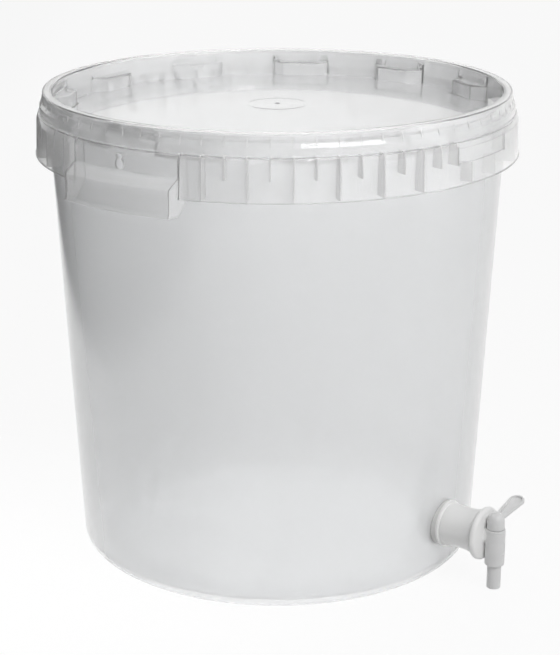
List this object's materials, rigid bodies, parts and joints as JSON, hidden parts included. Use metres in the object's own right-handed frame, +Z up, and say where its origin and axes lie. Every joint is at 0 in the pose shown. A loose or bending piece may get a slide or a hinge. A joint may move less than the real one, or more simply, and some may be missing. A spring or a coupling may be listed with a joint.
{
  "type": "fermenting bucket",
  "caption": "Tapered translucent plastic tub with ribbed collar, two moulded grips, clip-on lid with stacking lugs, and a quarter-turn tap low on the wall.",
  "frame": {"origin": "on the tub's axis, in the plane of the foot ring that it stands on", "axes": "+Z up along the tub's axis, -Y towards the tap, +X and -X towards the two grips"},
  "size_m": [0.4052, 0.4123, 0.3778],
  "materials": {
    "milky_plastic": "milky translucent polypropylene, smooth",
    "milky_lid_plastic": "milky translucent polypropylene, smooth",
    "white_plastic": "opaque white moulded plastic, satin",
    "washer_rubber": "soft pale rubber",
    "seal_rubber": "soft pale rubber"
  },
  "bodies": {
    "bucket": {"tub": "milky_plastic", "tap_body": "white_plastic", "outer_washer": "washer_rubber", "inner_washer": "washer_rubber", "back_nut": "white_plastic"},
    "lid": {"lid": "milky_lid_plastic"},
    "tap_plug": {"tap_plug": "white_plastic", "lower_plug_seal": "seal_rubber", "upper_plug_seal": "seal_rubber"}
  },
  "joints": [
    {"name": "lid_lift", "type": "slide", "parent": "bucket", "child": "lid", "axis": [0, 0, 1], "range_m": [0, 0.08]},
    {"name": "tap_turn", "type": "hinge", "parent": "bucket", "child": "tap_plug", "pos_m": [0, -0.2124, 0.045], "axis": [0, 0, 1], "range_deg": [-90, 0]}
  ]
}
